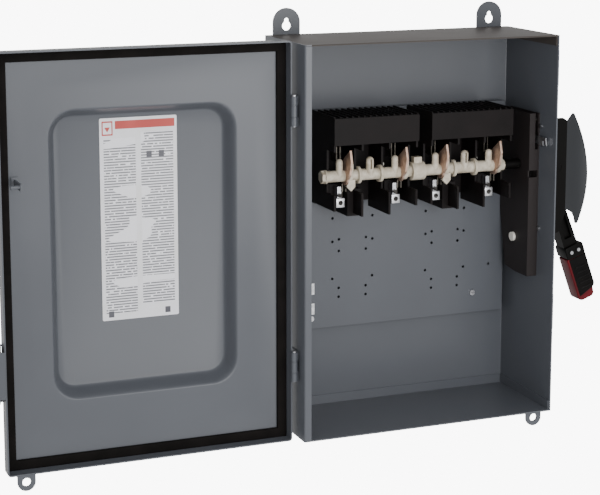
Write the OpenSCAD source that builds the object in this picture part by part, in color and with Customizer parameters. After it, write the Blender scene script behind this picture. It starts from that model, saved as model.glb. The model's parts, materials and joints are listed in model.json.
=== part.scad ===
// Heavy-duty safety switch: a four-pole, side-operated disconnect in a grey
// sheet-steel enclosure, shown with its door swung fully open and the handle off.
// +X is to the right, +Y goes into the wall and +Z is up. The origin is the
// middle of the enclosure's rear mounting face. Millimetres.

/* [Enclosure] */
// Width of the steel box
box_w = 380; // [360:1:420]
// Height of the steel box
box_h = 540; // [520:1:620]
// Depth of the steel box
box_d = 150; // [146:1:180]
// Thickness of the enclosure's sheet steel
sheet = 2; // [1.5:0.1:2.5]
// Width of the lip folded inwards along the hinge side
lip_w = 10; // [6:1:16]

/* [Door] */
// Overlap of the door past each side of the box
door_lap = 6; // [5:0.5:8]
// Overlap of the door past the top and the bottom of the box
door_lap_z = 4; // [3:0.5:8]
// Depth of the door's folded edge
door_flange = 23; // [20:0.5:23]
// Thickness of the door gasket
gasket_t = 5.5; // [4:0.1:5.6]
// Depth of the embossed door panel
emboss_d = 24; // [10:1:30]

/* [Switch] */
// Spacing of the poles
pole_pitch = 42; // [40:0.5:44]
// Radius of the moulded crossbar
bar_r = 8; // [7.5:0.1:9]
// Height of the crossbar's axis above the middle of the box
switch_z = 79; // [60:1:90]
// Reach of a contact blade from the crossbar's axis
blade_reach = 43; // [38:1:44]

/* [Handle] */
// Reach of the handle from its pivot to the end of the grip
handle_reach = 220; // [190:1:225]
// Lean of the handle away from the vertical when it is off
handle_lean = 20; // [16:1:24]

/* [Mounting] */
// Sideways spacing of the mounting holes
mount_spacing = 316; // [280:1:330]
// Radius of the two lower mounting holes
mount_hole_r = 4; // [3:0.5:5]

/* [Hidden] */
$fn = 48;
left = -box_w / 2;
right = box_w / 2;
top = box_h / 2;
bottom = -box_h / 2;
front = -box_d;

// Box details
end_flange = 15;
lug_plate_w = 40;
lug_plate_t = 2.5;
top_hole_z = top + 12;
keyhole_entry_r = 6.5;
keyhole_slot_w = 7;
keyhole_slot_z = top + 23;
bottom_hole_z = bottom - 17;
lug_top_z = top + 37;

// Door, described in its closed position and swung open about the hinge axis
hinge_x = left - 7;
hinge_y = front + 20;
door_open_deg = 180;
door_gap = 6;
door_y = front - door_gap;
door_tip_y = door_y - sheet + door_flange;
door_x0 = left - door_lap;
door_x1 = right + door_lap;
door_z0 = bottom - door_lap_z;
door_z1 = top + door_lap_z;
gasket_w = 13;
emboss_hinge_margin = 69;
emboss_free_margin = 66;
emboss_top_margin = 77;
emboss_bottom_margin = 85;
emboss_slope = 12;
emboss_r = 34;
label_w = 105;
label_h = 270;
label_t = 0.5;
label_x = right - 240;
label_z = 43;
knuckle_r = 4.5;
hinge_pin_r = 2;
run_gap = 0.05;
hinge_zs = [181, -168];
knuckle_len = 40;
knuckle_end = 12;
padlock_x = right - 18;
padlock_z = bottom - 13;
padlock_r = 5.5;
padlock_plate_r = 12;

// Latches on the free edge of the door and their clips on the box
latch_zs = [216, -140];
latch_half = 35;
clip_offsets = [8, 16];
clip_half = 25;
latch_pin_r = 1.5;
latch_y = door_y + 1;
latch_x = door_x1 + 2.6;
latch_free_deg = 14;

// Mounting pan and ground terminals
pan_half_w = box_w / 2 - 12;
pan_z0 = -150;
pan_z1 = 163;
pan_y = front + 131;
pan_t = 2;
ground_x = -136;
ground_zs = [-88, -117];

// Switch bases: two three-pole mouldings whose middle poles are empty
wall_t = 3;
base_w = 3 * pole_pitch;
base_gap = 20.5;
base_x0 = left + 63;
base_xs = [base_x0, base_x0 + base_w + base_gap];
axis_y = front + 76;
axis_z = switch_z;
floor_y = front + 119;
base_top = axis_z + 81;
base_bottom = axis_z - 54;
fin_y = front + 50;
shield_z = axis_z + 47;
live_poles = [0, 2];
pole_xs = [for (bx = base_xs, i = live_poles) bx + (i + 0.5) * pole_pitch];
empty_xs = [for (bx = base_xs) bx + 1.5 * pole_pitch];
stop_xs = [for (bx = base_xs) bx + 0.5 * pole_pitch + 12];
bar_x0 = base_xs[0] - 1;
bar_x1 = base_xs[1] + base_w + 0.5;
coupling_x = base_xs[0] + base_w + base_gap / 2;
coupling_w = base_gap - 1;
coupling_r = 13;
blade_dx = 6;
blade_t = 3;
blade_off_deg = 118;
blade_on_deg = 42;
hub_r = 13;
core_r = 6;
lug_w = 13;
lug_z = axis_z - 38;
lug_y = front + 76;
wire_r = 3.6;

// Operating mechanism on the right-hand wall
side_x = right - 18;
frame_z0 = axis_z - 156;
frame_z1 = axis_z + 76;
frame_y = front + 46;
shaft_r = 7;
driver_x = side_x + 2.6;
driver_t = 3;
drive_pin_y = axis_y + 18;
drive_pin_dz = 14;
drive_pin_r = 2.8;
drive_fork_deg = 38;
fork_half = 7;
fork_gap = 4.2;
crank_r = 20;
crank_off_deg = -46;
crank_pin_r = 2.5;
anchor_y = axis_y + 11;
anchor_z = axis_z - 109;
spring_x = right - 8.8;
guide_off_deg = atan2(crank_r * sin(crank_off_deg) + axis_z - anchor_z,
                      crank_r * cos(crank_off_deg) + axis_y - anchor_y) - 90;
interlock_y = front + 62;
interlock_z = axis_z + 39;
interlock_x = right - 6.6;
interlock_drop = 14;
interlock_pin_r = 2.5;
catch_y = front + 28;
catch_z = axis_z + 27;
catch_r = 2.5;

// Handle outside the right-hand wall
pivot_x = right + 20;
pivot_z = axis_z;
pivot_r = 5;
cheek_x = right + 32;
housing_y0 = front + 28;
housing_y1 = front + 122;
housing_z0 = axis_z - 102;
housing_z1 = axis_z + 70;
guard_edge_r = 188;
guard_bend_r = 60;
guard_y = front + 34;
arm_half = 12;
arm_y0 = axis_y - 11;
arm_y1 = axis_y + 11;
collar_r0 = 133;
collar_r1 = 152;
grip_half = 16;
grip_t = 28;
yoke_r = 15;
yoke_pin_r = 3;
yoke_gap = 5.2;
slide_t = 4;
slide_y = arm_y1 + 2.4;
slide_z = axis_z + drive_pin_dz;
slide_half = 10;
slot_y0 = arm_y1 - 1.5;
slot_y1 = slide_y + slide_t + 1.5;
slot_half = 28;

// ---- helpers ----

module block(x0, x1, y0, y1, z0, z1)
  translate([x0, y0, z0]) cube([x1 - x0, y1 - y0, z1 - z0]);

module x_rod(r, x0, x1, y, z)
  translate([x0, y, z]) rotate([0, 90, 0]) cylinder(r = r, h = x1 - x0);

module y_rod(r, y0, y1, x, z)
  translate([x, y0, z]) rotate([-90, 0, 0]) cylinder(r = r, h = y1 - y0);

module z_rod(r, z0, z1, x, y)
  translate([x, y, z0]) cylinder(r = r, h = z1 - z0);

// A plate square to X whose outline is drawn in Y and Z
module x_plate(x0, x1)
  translate([x0, 0, 0]) rotate([90, 0, 90]) linear_extrude(x1 - x0) children();

// A plate square to Y whose outline is drawn in X and Z
module y_plate(y0, y1)
  translate([0, y1, 0]) rotate([90, 0, 0]) linear_extrude(y1 - y0) children();

// A rectangle with rounded corners, drawn from its middle
module round_rect(w, h, r) {
  square([w - 2 * r, h], center = true);
  square([w, h - 2 * r], center = true);
  for (sx = [-1, 1], sz = [-1, 1])
    translate([sx * (w / 2 - r), sz * (h / 2 - r)]) circle(r);
}

// Turns its children about an axis along X through y, z
module turn_x(a, y, z)
  translate([0, y, z]) rotate([a, 0, 0]) translate([0, -y, -z]) children();

// Swings the closed door's pieces to the rest position, fully open
module swung_open()
  translate([hinge_x, hinge_y, 0]) rotate([0, 0, door_open_deg])
    translate([-hinge_x, -hinge_y, 0]) children();

// Places handle pieces, drawn hanging straight down from the origin
module at_handle()
  translate([pivot_x, 0, pivot_z]) rotate([0, -handle_lean, 0]) children();

module slotted_screw(r, h, slot = 1)
  difference() {
    cylinder(r = r, h = h);
    translate([-r, -slot / 2, h / 2]) cube([2 * r, slot, h]);
  }

// A slotted screw whose head faces the door
module front_screw(x, y, z, r, h)
  translate([x, y, z]) rotate([90, 0, 0]) slotted_screw(r, h);

// The upright slot that the drive slide reaches through, cut in everything it passes
module drive_slot()
  block(right - 7, right + 5, slot_y0, slot_y1, axis_z - slot_half, axis_z + slot_half);

module housing_screw_holes()
  for (z = [housing_z0 + 12, housing_z1 - 12], y = [housing_y0 + 14, housing_y1 - 14])
    x_rod(2.6, right - 7, right + 5, y, z);

// ---- enclosure ----

module enclosure_wrapper()
  color("#6b6c70") difference() {
    union() {
      block(left, right, -sheet, 0, bottom, top);
      block(left, left + sheet, front, 0, bottom, top);
      block(right - sheet, right, front, 0, bottom, top);
      block(left, left + lip_w, front, front + sheet, bottom, top);
    }
    drive_slot();
    housing_screw_holes();
  }

// An end wall sits inside the wrapper; its flanges turn towards the middle
module end_wall(z0, flange_dir) {
  zf = flange_dir > 0 ? z0 : z0 + sheet - end_flange;
  s = sheet + 0.1;
  block(left + s, right - s, front + sheet + 0.1, -s, z0, z0 + sheet);
  block(left + s, right - s, -s - 1.5, -s, zf, zf + end_flange);
  for (x = [left + s, right - s - 1.5])
    block(x, x + 1.5, front + sheet + 0.1, -s, zf, zf + end_flange);
}

module top_end_wall()
  color("#6e6660") union() {
    end_wall(top - sheet, -1);
    block(left + lip_w + 0.1, right - sheet - 0.1, front, front + sheet + 0.2, top - sheet, top);
  }

module bottom_end_wall()
  color("#6b6c70") union() {
    end_wall(bottom, 1);
    block(left + lip_w + 0.1, right - sheet - 0.1, front, front + sheet + 0.2, bottom, bottom + sheet);
  }

// Keyhole lugs above the box and plain lugs below it
module mounting_lugs()
  color("#6b6c70") for (x = [-mount_spacing / 2, mount_spacing / 2]) {
    y_plate(-lug_plate_t, 0) translate([x, 0]) difference() {
      union() {
        translate([-lug_plate_w / 2, top + 0.1]) square([lug_plate_w, 17]);
        translate([0, lug_top_z - lug_plate_w / 2]) circle(lug_plate_w / 2);
      }
      translate([-lug_plate_w / 2 - 1, top - lug_plate_w]) square([lug_plate_w + 2, lug_plate_w + 0.1]);
      translate([0, top_hole_z]) circle(keyhole_entry_r);
      translate([0, keyhole_slot_z - keyhole_slot_w / 2]) circle(keyhole_slot_w / 2);
      translate([-keyhole_slot_w / 2, top_hole_z])
        square([keyhole_slot_w, keyhole_slot_z - keyhole_slot_w / 2 - top_hole_z]);
    }
    y_plate(-lug_plate_t, 0) translate([x, 0]) difference() {
      union() {
        translate([-lug_plate_w / 2, bottom_hole_z]) square([lug_plate_w, 16.9]);
        translate([0, bottom_hole_z]) circle(lug_plate_w / 2);
      }
      translate([-lug_plate_w / 2 - 1, bottom - 0.1]) square([lug_plate_w + 2, lug_plate_w]);
      translate([0, bottom_hole_z]) circle(mount_hole_r);
    }
  }

// The fixed ear that a padlock joins to the door's ear
module padlock_loop()
  color("#6b6c70") y_plate(front + 17, front + 20) difference() {
    union() {
      translate([padlock_x, padlock_z]) circle(padlock_plate_r);
      translate([padlock_x - padlock_plate_r, padlock_z]) square([2 * padlock_plate_r, 12.8]);
    }
    translate([padlock_x, padlock_z]) circle(padlock_r);
  }

module knuckle(z0, z1)
  difference() {
    z_rod(knuckle_r, z0, z1, hinge_x, hinge_y);
    z_rod(hinge_pin_r + run_gap, z0 - 1, z1 + 1, hinge_x, hinge_y);
  }

module box_hinge_leaves()
  color("#5d5e62") for (z = hinge_zs) {
    difference() {
      union() {
        block(left - 2.1, left - 0.1, hinge_y + knuckle_r + 0.8, hinge_y + 28, z - 20, z + 20);
        for (s = [-1, 1])
          block(hinge_x, left - 0.1, hinge_y + 2.4, hinge_y + knuckle_r + 1,
                z + s * 14 - 6, z + s * 14 + 6);
      }
      z_rod(knuckle_r - 0.5, z - 21, z + 21, hinge_x, hinge_y);
    }
    for (s = [-1, 1])
      knuckle(z + s * 14 - 6, z + s * 14 + 6);
  }

module hinge_pins()
  color("#8a8b8e") for (z = hinge_zs) {
    z_rod(hinge_pin_r, z - 21, z + 21, hinge_x, hinge_y);
    z_rod(3.2, z + 20.2, z + 22, hinge_x, hinge_y);
  }

// Lipped clips that the door latches pull against
module latch_clips()
  color("#7c7d80") for (i = [0, 1]) {
    z = latch_zs[i] + clip_offsets[i];
    block(right + 0.1, right + 1.6, front + 2, front + 14.5, z - clip_half, z + clip_half);
    block(right + 1.6, right + 3, front + 13, front + 14.5, z - clip_half, z + clip_half);
  }

// ---- mounting pan and ground terminals ----

function hole_xs(half) = [for (bx = base_xs, s = [-1, 1]) bx + base_w / 2 + s * half];

module mounting_pan()
  color("#66686c") difference() {
    union() {
      block(-pan_half_w, pan_half_w, pan_y, pan_y + pan_t, pan_z0, pan_z1);
      for (z = [pan_z0, pan_z1 - pan_t])
        block(-pan_half_w, pan_half_w, pan_y, -sheet - 0.2, z, z + pan_t);
    }
    for (x = hole_xs(31), z = [8, -26, -80])
      y_rod(2, pan_y - 1, pan_y + pan_t + 1, x, z);
    for (x = hole_xs(21), z = [-23, -40, -94, -107])
      y_rod(2, pan_y - 1, pan_y + pan_t + 1, x, z);
    y_rod(2, pan_y - 1, pan_y + pan_t + 1, 155, -79);
  }

module pan_screws()
  color("#c9cacc") for (p = [[128, -120], [-128, -135], [150, 150], [-160, 150]])
    front_screw(p[0], pan_y - 0.1, p[1], 4, 3);

module ground_lugs()
  color("#c3c4c6") for (z = ground_zs)
    difference() {
      block(ground_x - 7, ground_x + 7, pan_y - 16, pan_y - 0.1, z - 8, z + 8);
      z_rod(wire_r, z - 9, z + 9, ground_x, pan_y - 7);
      y_rod(2.6, pan_y - 17, pan_y - 7, ground_x, z);
    }

module ground_screws()
  color("#b4b5b8") for (z = ground_zs)
    front_screw(ground_x, pan_y - 11.5, z, 2.5, 6);

// ---- switch bases ----

// Side outline of a barrier: a lower fin, a saddle for the bar and an upper wing
module barrier_outline(z0)
  difference() {
    translate([fin_y, z0]) square([floor_y - fin_y + 1, base_top - z0]);
    translate([fin_y - 1, axis_z - 22]) square([axis_y - fin_y + 1, 60]);
    translate([axis_y, axis_z]) circle(bar_r + 0.6);
  }

module switch_base(bx) {
  difference() {
    union() {
      block(bx, bx + base_w, floor_y, pan_y - 0.2, base_bottom + 9, base_top);
      for (i = [0:3])
        x_plate(bx + i * (base_w - wall_t) / 3, bx + i * (base_w - wall_t) / 3 + wall_t)
          barrier_outline(i == 0 || i == 3 ? base_bottom + 10 : base_bottom);
      block(bx + pole_pitch - 10, bx + pole_pitch + 10, axis_y + 2, floor_y + 1,
            base_bottom - 4, base_bottom + 34);
      for (i = live_poles) {
        x = bx + (i + 0.5) * pole_pitch;
        block(x - 10, x + 10, lug_y + 17, floor_y + 1, lug_z - 10, lug_z + 24);
      }
    }
    for (x = [bx + 0.5 * pole_pitch, bx + 2.5 * pole_pitch])
      y_rod(3.4, floor_y - 1, pan_y + 1, x, axis_z - 4);
    for (sx = [-1, 1])
      block(bx + pole_pitch + sx * 5 - 3.6, bx + pole_pitch + sx * 5 + 3.6,
            axis_y + 4, axis_y + 20, base_bottom - 5, base_bottom + 20);
  }
}

module switch_base_left() color("#191615") switch_base(base_xs[0]);
module switch_base_right() color("#191615") switch_base(base_xs[1]);

// Ribbed covers over the line terminals
module line_shields()
  color("#1f1b1a") for (bx = base_xs)
    difference() {
      union() {
        block(bx - 0.5, bx + base_w + 0.5, fin_y - 3, fin_y - 0.3, shield_z, base_top + 3);
        block(bx - 0.5, bx + base_w + 0.5, fin_y - 3, pan_y - 0.4, base_top + 0.3, base_top + 3);
        for (i = [0:14])
          block(bx + i * (base_w - 2) / 14, bx + i * (base_w - 2) / 14 + 2,
                fin_y, pan_y - 1, base_top + 2, base_top + 5);
      }
      for (i = live_poles)
        z_rod(5, base_top - 1, base_top + 6, bx + (i + 0.5) * pole_pitch, floor_y - 16);
    }

module base_screws()
  color("#c9cacc") for (bx = base_xs, i = [0.5, 2.5])
    translate([bx + i * pole_pitch, 0, 0])
      union() {
        y_rod(3.3, floor_y + 0.1, pan_y - 0.3, 0, axis_z - 4);
        front_screw(0, floor_y - 0.1, axis_z - 4, 5, 3);
      }

// White snap caps over the screws behind the bar
module base_screw_caps()
  color("#e6e3da") for (bx = base_xs)
    y_rod(3.8, axis_y + 14, floor_y - 0.1, bx + 2 * pole_pitch + 5, axis_z + 10);

module box_lug(x, y, z)
  difference() {
    block(x - lug_w / 2, x + lug_w / 2, y, y + 16, z - lug_w / 2, z + lug_w / 2);
    z_rod(wire_r, z - lug_w, z + lug_w, x, y + 9);
    y_rod(3.4, y - 1, y + 8, x, z);
  }

// Each load lug has a tang that rises to its strap
module load_lugs()
  color("#cfd0d2") for (x = pole_xs) {
    box_lug(x, lug_y, lug_z);
    block(x - 3.2, x + 2.4, lug_y + 4, lug_y + 15.9, lug_z + 6.2, lug_z + 22);
  }

module line_lugs() color("#cfd0d2") for (x = pole_xs) box_lug(x, floor_y - 26, axis_z + 66);

// Straps run from each load lug up to the leaves that grip the blade's hub
module load_straps()
  color("#bdbec1") for (x = pole_xs) {
    block(x - 3, x + 9.6, lug_y + 16.1, lug_y + 16.9, lug_z - 6, lug_z + 21);
    for (dx = [-1, 1])
      block(x + blade_dx + dx * 2.7 - 0.6, x + blade_dx + dx * 2.7 + 0.6,
            axis_y + 2, lug_y + 16.5, axis_z - 23, axis_z - 11.6);
  }

// Paired leaves that the blades enter when the switch is on
module line_jaws()
  color("#b5763f") for (x = pole_xs) {
    for (dx = [-1, 1])
      block(x + blade_dx + dx * 2.7 - 0.6, x + blade_dx + dx * 2.7 + 0.6,
            floor_y - 20, floor_y - 0.2, axis_z + 16, axis_z + 37);
    block(x + 2, x + 10, floor_y - 2.2, floor_y - 0.2, axis_z + 36, axis_z + 58);
    block(x - 5, x + 5, floor_y - 9.9, floor_y - 0.2, axis_z + 56, axis_z + 76);
  }

module terminal_screws()
  color("#c9cacc") for (x = pole_xs) {
    front_screw(x, lug_y + 6, lug_z, 3.3, 2.5);
    front_screw(x - 0.3, lug_y + 3.9, lug_z + 10, 2.8, 3);
    front_screw(x, floor_y - 20, axis_z + 66, 3.3, 2.5);
  }

// ---- crossbar and blades ----

module collar(x) x_rod(12, x, x + 4, axis_y, axis_z);

// A rounded post that backs one blade
module blade_post(x, r) {
  z_rod(r, axis_z, axis_z + 20, x, axis_y - 4);
  translate([x, axis_y - 4, axis_z + 20]) sphere(r);
}

module slotted_stub(x)
  difference() {
    blade_post(x, 5.4);
    block(x - 1.3, x + 1.3, axis_y - 12, axis_y - 3, axis_z + bar_r, axis_z + 22);
  }

// A pointed tab below the bar that stops its travel
module stop_tab(x)
  y_plate(axis_y - 9, axis_y - 3)
    polygon([[x - 6, axis_z - 5], [x + 6, axis_z - 5], [x + 6, axis_z - 15],
             [x, axis_z - 21], [x - 6, axis_z - 15]]);

// Room for a blade's hub, with the bar's narrower core left through it
module blade_slot(x)
  difference() {
    x_rod(hub_r + 1, x - blade_t / 2 - 0.1, x + blade_t / 2 + 0.1, axis_y, axis_z);
    x_rod(core_r, x - blade_t, x + blade_t, axis_y, axis_z);
  }

// A moulded flag that backs one blade on its right side
module blade_flag(x)
  x_plate(x + 8, x + 11) translate([axis_y, axis_z]) rotate(blade_off_deg)
    polygon([[0, -12], [18, -12], [26, -6], [25, 7], [18, 11], [0, 11]]);

// The parts of the bar that one base carries, between x0 and x1
module crossbar_half(x0, x1, bx)
  difference() {
    union() {
      x_rod(bar_r, x0, x1, axis_y, axis_z);
      for (i = live_poles) {
        x = bx + (i + 0.5) * pole_pitch;
        blade_post(x - 4, 4.8);
        blade_flag(x);
        x_rod(11, x + 8, x + 14, axis_y, axis_z);
      }
      slotted_stub(bx + 1.5 * pole_pitch);
      stop_tab(bx + 0.5 * pole_pitch + 12);
      collar(bx + pole_pitch + 2.5);
      collar(bx + 2 * pole_pitch - 6.5);
    }
    for (i = live_poles)
      blade_slot(bx + (i + 0.5) * pole_pitch + blade_dx);
  }

module crossbar_left()
  color("#c9c2b2") crossbar_half(bar_x0, coupling_x - coupling_w / 2 - 0.1, base_xs[0]);

module crossbar_right()
  color("#c9c2b2") crossbar_half(coupling_x + coupling_w / 2 + 0.1, bar_x1, base_xs[1]);

module crossbar_coupling()
  color("#cfc8b8") union() {
    x_rod(coupling_r, coupling_x - coupling_w / 2, coupling_x + coupling_w / 2, axis_y, axis_z);
    block(coupling_x - 6, coupling_x + 6, axis_y - 5, axis_y + 5, axis_z, axis_z + 20);
  }

module crossbar_end_bolt()
  color("#a9a497") union() {
    translate([bar_x0 - 8, axis_y, axis_z]) rotate([0, 90, 0]) cylinder(r = 9, h = 5, $fn = 6);
    x_rod(9.5, bar_x0 - 3, bar_x0 - 0.1, axis_y, axis_z);
  }

// Blades point up and forward when off and swing back into the jaws when on
module contact_blades()
  color("#b98a6a") for (x = pole_xs)
    x_plate(x + blade_dx - blade_t / 2, x + blade_dx + blade_t / 2)
      translate([axis_y, axis_z]) rotate(blade_off_deg) difference() {
        union() {
          circle(hub_r);
          polygon([[0, -13], [18, -13], [blade_reach, 0], [31, 12], [12, 16], [0, 12]]);
        }
        circle(core_r + run_gap);
      }

module drive_shaft()
  color("#3a3a3c") x_rod(shaft_r, bar_x1 + 0.1, driver_x + driver_t + 0.3, axis_y, axis_z);

// The fork that the slide turns, and the crank that holds the toggle spring
module rotor_driver()
  color("#4a4a4d") union() {
    x_plate(driver_x, driver_x + driver_t) translate([axis_y, axis_z]) difference() {
      union() {
        circle(14);
        rotate(drive_fork_deg) translate([0, -fork_half]) square([29, 2 * fork_half]);
        rotate(crank_off_deg) translate([0, -5]) square([crank_r, 10]);
        rotate(crank_off_deg) translate([crank_r, 0]) circle(5);
      }
      circle(shaft_r + 0.02);
      rotate(drive_fork_deg) translate([14.6, -fork_gap]) square([20, 2 * fork_gap]);
    }
    x_rod(crank_pin_r, driver_x + 1, spring_x + 3.6,
          axis_y + crank_r * cos(crank_off_deg), axis_z + crank_r * sin(crank_off_deg));
  }

// ---- operating mechanism ----

// Side outline of the mechanism frame, narrower towards its foot
module frame_outline()
  polygon([[frame_y, frame_z1], [pan_y - 2, frame_z1], [pan_y - 2, axis_z - 74],
           [front + 112, frame_z0], [front + 80, frame_z0 - 4], [frame_y, frame_z0 - 4]]);

module mechanism_side_plate()
  color("#1b1919") difference() {
    union() {
      x_plate(side_x, side_x + 2) frame_outline();
      block(side_x, right - sheet - 2.3, frame_y, frame_y + 2, frame_z0 - 4, axis_z + 24);
      block(side_x, side_x + 9, frame_y, frame_y + 2, axis_z + 23, frame_z1);
    }
    x_rod(shaft_r + run_gap, side_x - 1, side_x + 3, axis_y, axis_z);
    x_rod(4, side_x - 1, side_x + 3, anchor_y, anchor_z);
    block(side_x - 1, right, frame_y - 1, frame_y + 3, axis_z - 16, axis_z - 6);
  }

module mechanism_base_plate()
  color("#232122") difference() {
    x_plate(right - sheet - 2.1, right - sheet - 0.1) frame_outline();
    drive_slot();
    housing_screw_holes();
  }

// Spacers between the two plates, and the pin that the interlock lever turns on
module mechanism_spacers()
  color("#77787b") union() {
    for (p = [[front + 54, frame_z1 - 10], [front + 122, frame_z1 - 10],
              [front + 54, frame_z0 + 6], [front + 100, frame_z0 + 8]])
      x_rod(3.5, side_x + 2.1, right - sheet - 2.2, p[0], p[1]);
    x_rod(interlock_pin_r, side_x + 2.1, right - sheet - 2.2, interlock_y, interlock_z);
  }

// Nylon roller and its pin, the anchor of the toggle spring
module anchor_roller()
  color("#e8e6e0") union() {
    x_rod(6.5, side_x - 4, side_x - 0.2, anchor_y, anchor_z);
    x_rod(3.9, side_x - 1, right - sheet - 2.2, anchor_y, anchor_z);
  }

// A plate through the wall: its open yoke rides the handle's pin, outside, and its
// cross pin turns the driver's fork, inside
module drive_slide()
  color("#6a6a6d") difference() {
    union() {
      block(driver_x + driver_t + 0.6, pivot_x - pivot_r - 0.3, slide_y, slide_y + slide_t,
            slide_z - slide_half, slide_z + slide_half);
      block(driver_x + driver_t + 0.6, right - 7.5, slide_y, drive_pin_y + 5,
            slide_z - 8, slide_z + 8);
      x_rod(drive_pin_r, driver_x - 0.2, right - 8, drive_pin_y, slide_z);
    }
    block(right + 1.5, right + 16, slide_y - 1, slide_y + slide_t + 1,
          slide_z - yoke_gap, slide_z + yoke_gap);
  }

module anchor_turn(a) turn_x(a, anchor_y, anchor_z) children();

// A rod pivoted on the anchor; its open fork straddles the crank pin
module spring_guide()
  color("#8b8c8f") anchor_turn(guide_off_deg) difference() {
    union() {
      x_rod(7, spring_x - 3, spring_x + 3, anchor_y, anchor_z);
      z_rod(2.5, anchor_z + 5, anchor_z + 72, spring_x, anchor_y);
      block(spring_x - 3, spring_x + 3, anchor_y - 7, anchor_y + 7, anchor_z + 70, anchor_z + 104);
    }
    x_rod(3.95, spring_x - 4, spring_x + 4, anchor_y, anchor_z);
    block(spring_x - 4, spring_x + 4, anchor_y - 3.4, anchor_y + 3.4, anchor_z + 78, anchor_z + 105);
  }

// The toggle spring's closed outer sleeve of coils around the guide
module toggle_spring()
  color("#9a9b9e") anchor_turn(guide_off_deg)
    translate([spring_x, anchor_y, anchor_z + 8]) difference() {
      union() {
        cylinder(r = 3.2, h = 61);
        for (i = [0:14]) translate([0, 0, i * 4.2]) cylinder(r = 4.2, h = 2.2);
      }
      translate([0, 0, -1]) cylinder(r = 2.6, h = 63);
    }

// Lever whose jaw drops over the door's catch; it rests raised, clear of the catch
module interlock_lever()
  color("#a7a8ab") turn_x(-interlock_drop, interlock_y, interlock_z)
    difference() {
      union() {
        x_plate(interlock_x, interlock_x + 2)
          polygon([[catch_y - 6, catch_z - 4], [catch_y - 6, catch_z + 7], [catch_y + 9, catch_z + 11],
                   [interlock_y, interlock_z + 6], [interlock_y + 5, interlock_z + 4],
                   [interlock_y + 5, interlock_z - 5], [interlock_y - 3, interlock_z - 6],
                   [catch_y + 8, catch_z - 2]]);
        x_rod(4.5, interlock_x - 1, interlock_x + 2.2, interlock_y, interlock_z);
      }
      x_rod(interlock_pin_r + run_gap, interlock_x - 3, interlock_x + 3, interlock_y, interlock_z);
      block(interlock_x - 1, interlock_x + 3, catch_y - 3.2, catch_y + 3.2, catch_z - 6, catch_z + 3.2);
    }

// ---- handle ----

module handle_housing()
  color("#151313") difference() {
    union() {
      block(right + 0.1, right + 4, housing_y0, housing_y1, housing_z0, housing_z1);
      for (y = [housing_y0, housing_y1 - 4])
        y_plate(y, y + 4) translate([right + 0.1, 0]) polygon([
          [0, housing_z0], [22, housing_z0 + 8], [cheek_x - right, housing_z0 + 34],
          [cheek_x - right, housing_z1 - 4], [cheek_x - right - 6, housing_z1], [0, housing_z1]]);
    }
    drive_slot();
    y_rod(pivot_r + 0.02, housing_y0 - 1, housing_y1 + 1, pivot_x, pivot_z);
    housing_screw_holes();
  }

// Leaf-shaped outline: a bowed outer edge, pointed above and cut back below
module guard_outline()
  offset(r = 2.5) offset(delta = -2.5) intersection() {
    translate([cheek_x + 36.5 - guard_edge_r, pivot_z - 15]) circle(guard_edge_r, $fn = 180);
    translate([cheek_x, pivot_z]) polygon([
      [0.2, 65], [12, 77], [60, 77], [60, -89], [20, -89], [17.5, -76], [14, -69], [6, -64], [0.2, -63]]);
  }

// A flared leaf, curved about an upright axis, with a foot behind the housing's cheek
module handle_guard()
  color("#4c4f52") union() {
    intersection() {
      y_plate(front + 20, front + 50) guard_outline();
      difference() {
        z_rod(guard_bend_r, pivot_z - 100, pivot_z + 100, cheek_x + 21, guard_y - guard_bend_r);
        z_rod(guard_bend_r - 2, pivot_z - 101, pivot_z + 101, cheek_x + 21, guard_y - guard_bend_r);
      }
    }
    block(cheek_x - 6, cheek_x + 3, housing_y0 + 4.1, housing_y0 + 6.1, pivot_z - 58, pivot_z + 58);
    block(cheek_x + 0.3, cheek_x + 3, housing_y0 + 1.5, housing_y0 + 6.1, pivot_z - 58, pivot_z + 58);
  }

module handle_pivot_pin()
  color("#8d8e91") union() {
    y_rod(pivot_r, housing_y0 + 0.5, housing_y1 + 2, pivot_x, pivot_z);
    y_rod(pivot_r + 2.5, housing_y1 + 0.2, housing_y1 + 4, pivot_x, pivot_z);
  }

module housing_screws()
  color("#c9cacc") for (z = [housing_z0 + 12, housing_z1 - 12], y = [housing_y0 + 14, housing_y1 - 14]) {
    x_rod(2.5, right - 4, right + 4.5, y, z);
    x_rod(5, right + 4.1, right + 7, y, z);
  }

// A forged arm with a hub at its pivot and the pin that drives the slide
module handle_arm()
  color("#161414") at_handle() difference() {
    union() {
      y_rod(15, arm_y0, arm_y1 + 1.8, 0, 0);
      y_rod(5.5, arm_y1 - 0.8, arm_y1 + 1.8, 0, yoke_r);
      y_plate(arm_y0, arm_y1)
        polygon([[-11, 0], [-arm_half + 1, -60], [-arm_half, -collar_r0], [arm_half - 1, -collar_r0],
                 [arm_half - 3, -70], [11, 0]]);
      y_rod(yoke_pin_r, arm_y1, slide_y + slide_t + 1, 0, yoke_r);
    }
    y_rod(pivot_r + run_gap, arm_y0 - 1, arm_y1 + 3, 0, 0);
    y_plate(arm_y0 - 1, arm_y0 + 5)
      polygon([[-6, -30], [-7, -collar_r0 + 12], [5, -collar_r0 + 12], [5, -30]]);
    y_plate(arm_y1 - 5, arm_y1 + 1)
      polygon([[-6, -30], [-7, -collar_r0 + 12], [5, -collar_r0 + 12], [5, -30]]);
  }

module handle_collar()
  color("#131111") at_handle() y_plate(axis_y - 15, axis_y + 15)
    difference() {
      translate([2, -(collar_r0 + collar_r1) / 2]) round_rect(31, collar_r1 - collar_r0, 4);
      translate([-arm_half, -collar_r0 - 2]) square([2 * arm_half - 1, 3]);
    }

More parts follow.
